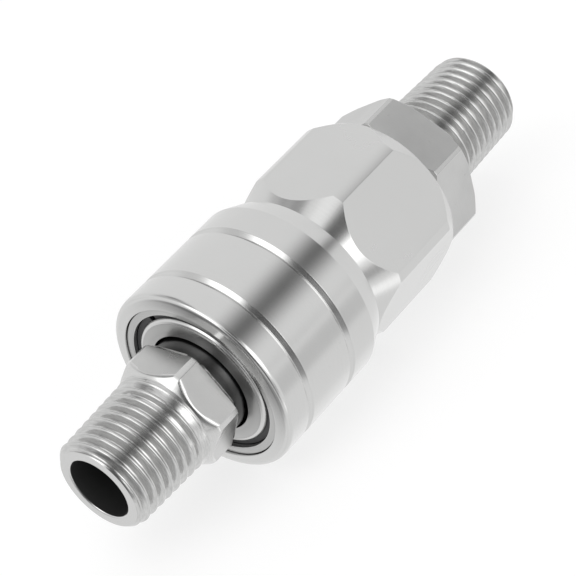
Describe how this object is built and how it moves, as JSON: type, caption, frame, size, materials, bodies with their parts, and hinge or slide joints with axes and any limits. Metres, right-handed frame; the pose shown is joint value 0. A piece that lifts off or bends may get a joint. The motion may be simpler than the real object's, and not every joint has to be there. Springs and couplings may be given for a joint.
{
  "type": "hydraulic quick coupler",
  "caption": "Ball-lock hydraulic quick coupler, coupled: a valved plug held in a valved socket by a sprung sliding sleeve, with male taper pipe threads at both ends.",
  "frame": {"origin": "centre of the plug's pipe-thread end face, on the coupler's axis", "axes": "+X along the axis from the plug's pipe thread to the socket's adapter; +Z normal to one flat of the socket's hexagon, which faces up when the coupler lies down"},
  "size_m": [0.0794, 0.0262, 0.0262],
  "materials": {
    "plated_steel": "satin bright zinc plate",
    "sleeve_steel": "fine turned and plated, satin",
    "adapter_steel": "satin plate, a shade darker",
    "washer_steel": "satin plate",
    "valve_steel": "turned, bare",
    "spring_steel": "drawn wire",
    "ball_steel": "polished",
    "black_steel": "black oxide",
    "nitrile_rubber": "matt",
    "backup_plastic": "white, waxy"
  },
  "bodies": {
    "socket": {"socket_body": "plated_steel", "adapter": "adapter_steel", "adapter_seal": "nitrile_rubber", "snap_ring": "black_steel", "nose_seal": "nitrile_rubber", "backup_ring": "backup_plastic", "socket_guide": "valve_steel", "socket_spring": "spring_steel", "sleeve_spring": "spring_steel"},
    "washer": {"stop_washer": "washer_steel"},
    "sleeve": {"sleeve": "sleeve_steel"},
    "plug": {"plug_body": "plated_steel", "plug_guide": "valve_steel", "plug_guide_ring": "black_steel", "plug_spring": "spring_steel"},
    "plug_valve": {"plug_poppet": "valve_steel", "plug_poppet_seal": "nitrile_rubber"},
    "socket_valve": {"socket_poppet": "valve_steel", "socket_poppet_seal": "nitrile_rubber"},
    "ball_1": {"locking_ball_1": "ball_steel"},
    "ball_2": {"locking_ball_2": "ball_steel"},
    "ball_3": {"locking_ball_3": "ball_steel"},
    "ball_4": {"locking_ball_4": "ball_steel"},
    "ball_5": {"locking_ball_5": "ball_steel"},
    "ball_6": {"locking_ball_6": "ball_steel"}
  },
  "joints": [
    {"name": "sleeve_turn", "type": "hinge", "parent": "socket", "child": "washer", "pos_m": [0, 0, 0], "axis": [1, 0, 0], "continuous": true},
    {"name": "sleeve_slide", "type": "slide", "parent": "washer", "child": "sleeve", "axis": [1, 0, 0], "range_m": [0, 0.0028], "stiffness_N_per_m": 1800, "springref_m": -0.004, "deforming": ["sleeve_spring"]},
    {"name": "plug_swivel", "type": "hinge", "parent": "socket", "child": "plug", "pos_m": [0, 0, 0], "axis": [1, 0, 0], "continuous": true},
    {"name": "plug_valve_slide", "type": "slide", "parent": "plug", "child": "plug_valve", "axis": [-1, 0, 0], "range_m": [0, 0.0012], "stiffness_N_per_m": 500, "springref_m": -0.003, "deforming": ["plug_spring"]},
    {"name": "socket_valve_slide", "type": "slide", "parent": "socket", "child": "socket_valve", "axis": [1, 0, 0], "range_m": [0, 0.0012], "stiffness_N_per_m": 500, "springref_m": -0.003, "deforming": ["socket_spring"]},
    {"name": "ball_1_slide", "type": "slide", "parent": "socket", "child": "ball_1", "axis": [0, 1, 0], "range_m": [0, 0.00095]},
    {"name": "ball_2_slide", "type": "slide", "parent": "socket", "child": "ball_2", "axis": [0, 0.5, 0.866], "range_m": [0, 0.00095]},
    {"name": "ball_3_slide", "type": "slide", "parent": "socket", "child": "ball_3", "axis": [0, -0.5, 0.866], "range_m": [0, 0.00095]},
    {"name": "ball_4_slide", "type": "slide", "parent": "socket", "child": "ball_4", "axis": [0, -1, 0], "range_m": [0, 0.00095]},
    {"name": "ball_5_slide", "type": "slide", "parent": "socket", "child": "ball_5", "axis": [0, -0.5, -0.866], "range_m": [0, 0.00095]},
    {"name": "ball_6_slide", "type": "slide", "parent": "socket", "child": "ball_6", "axis": [0, 0.5, -0.866], "range_m": [0, 0.00095]}
  ],
  "couplings": [
    {"joint": "ball_1_slide", "follows": "sleeve_slide", "ratio": 0.3375},
    {"joint": "ball_2_slide", "follows": "sleeve_slide", "ratio": 0.3375},
    {"joint": "ball_3_slide", "follows": "sleeve_slide", "ratio": 0.3375},
    {"joint": "ball_4_slide", "follows": "sleeve_slide", "ratio": 0.3375},
    {"joint": "ball_5_slide", "follows": "sleeve_slide", "ratio": 0.3375},
    {"joint": "ball_6_slide", "follows": "sleeve_slide", "ratio": 0.3375}
  ]
}
